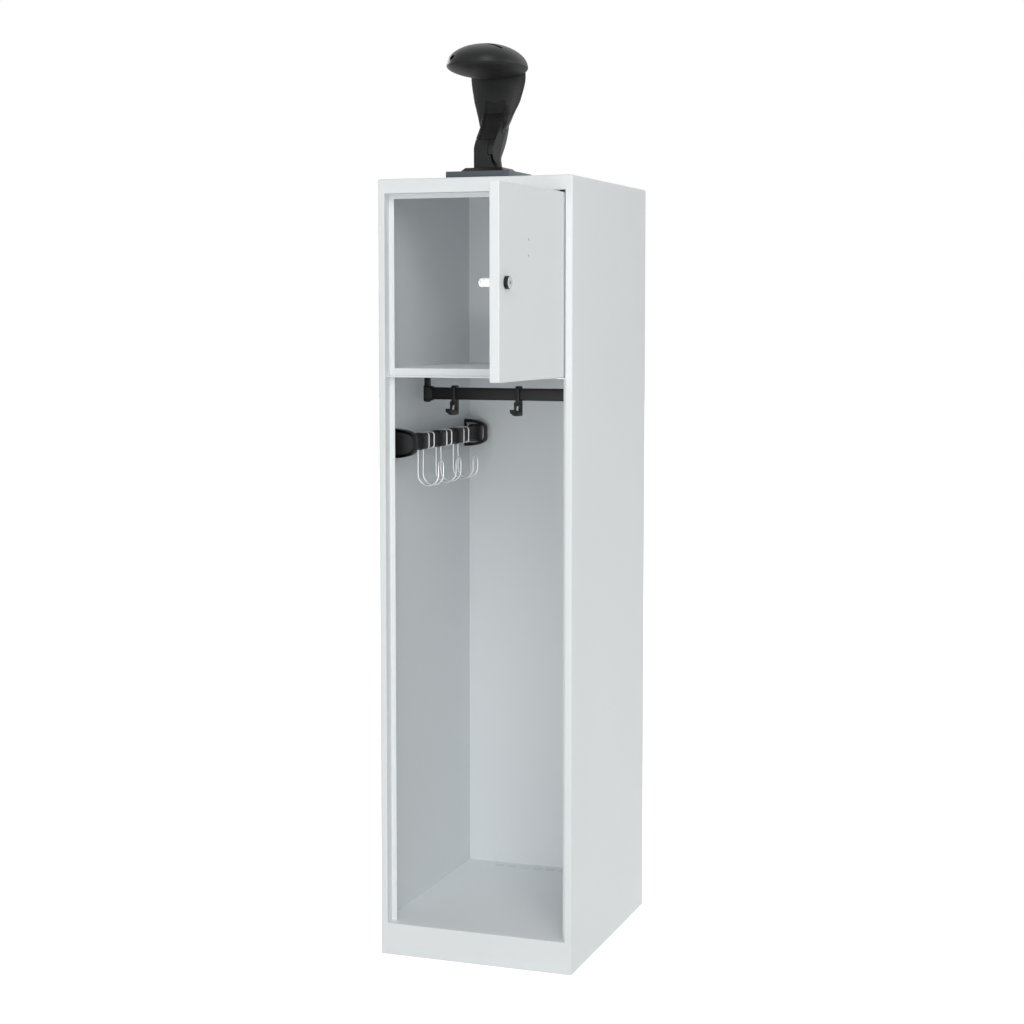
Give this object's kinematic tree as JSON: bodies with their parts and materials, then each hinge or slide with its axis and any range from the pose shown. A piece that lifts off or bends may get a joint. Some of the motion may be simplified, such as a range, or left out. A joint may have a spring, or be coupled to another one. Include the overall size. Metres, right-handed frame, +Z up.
{
  "type": "open clothes locker with upper compartment",
  "caption": "Tall open steel locker with a lockable upper compartment, a clothes rail with sliding hooks, a side hook bar and a helmet holder on its roof.",
  "frame": {"origin": "floor level, in the middle of the plinth's inward-folded foot flange, half the flange's width behind the front face", "axes": "+X to the right seen from the front, +Y to the rear, +Z up"},
  "size_m": [0.48, 1.025, 2.1663],
  "materials": {
    "paint": "light grey powder coat, fine texture",
    "zinc": "bright zinc plated",
    "black_plastic": "black moulded plastic, satin",
    "white_nylon": "white nylon",
    "rubber": "black rubber",
    "slate_paint": "slate grey powder coat"
  },
  "bodies": {
    "cabinet": {"left_side_panel": "paint", "right_side_panel": "paint", "back_panel": "paint", "top_panel": "paint", "floor_panel": "paint", "shelf": "paint", "upper_pivot_bush": "white_nylon", "lower_pivot_bush": "white_nylon", "lower_pivot_bracket": "zinc", "clothes_rail": "black_plastic", "left_rail_bracket": "black_plastic", "right_rail_bracket": "black_plastic", "left_rail_screw_front": "zinc", "left_rail_screw_rear": "zinc", "right_rail_screw_front": "zinc", "right_rail_screw_rear": "zinc", "wall_mounting_strip": "paint", "front_bar_bracket": "black_plastic", "rear_bar_bracket": "black_plastic", "front_bracket_screw_lower": "zinc", "front_bracket_screw_upper": "zinc", "rear_bracket_screw_lower": "zinc", "rear_bracket_screw_upper": "zinc", "hook_bar": "black_plastic", "wire_hook_1": "zinc", "wire_hook_2": "zinc", "wire_hook_3": "zinc", "holder_plate": "slate_paint", "holder_plate_screw_1": "zinc", "holder_plate_screw_2": "zinc", "holder_plate_screw_3": "zinc", "holder_plate_screw_4": "zinc", "holder_foot": "black_plastic", "holder_neck": "black_plastic", "holder_neck_inset": "black_plastic", "holder_foot_cover": "black_plastic", "holder_neck_screw_left": "zinc", "holder_neck_screw_right": "zinc", "holder_head_cap": "black_plastic", "holder_head_tray": "black_plastic"},
    "door": {"door_panel": "paint", "door_stiffener": "paint", "upper_pivot_pin": "zinc", "lower_pivot_pin": "zinc", "lock_rosette": "black_plastic", "lock_housing": "zinc", "lock_nut": "zinc", "door_buffer_hinge_side": "rubber", "door_buffer_free_side": "rubber"},
    "lock_cylinder": {"lock_plug": "zinc", "lock_cam": "zinc", "lock_cam_screw": "zinc"},
    "front_hook": {"rail_hook_1": "black_plastic"},
    "middle_hook": {"rail_hook_2": "black_plastic"}
  },
  "joints": [
    {"name": "door_hinge", "type": "hinge", "parent": "cabinet", "child": "door", "pos_m": [0.213, -0.008, 1.6015], "axis": [0, 0, 1], "range_deg": [-90, 15]},
    {"name": "lock_turn", "type": "hinge", "parent": "door", "child": "lock_cylinder", "pos_m": [0.2, -0.4005, 1.6005], "axis": [1, 0, 0], "range_deg": [0, 180]},
    {"name": "rail_hook_1_slide", "type": "slide", "parent": "cabinet", "child": "front_hook", "axis": [1, 0, 0], "range_m": [-0.049, 0.074]},
    {"name": "rail_hook_2_slide", "type": "slide", "parent": "cabinet", "child": "middle_hook", "axis": [1, 0, 0], "range_m": [-0.074, 0.172]}
  ]
}
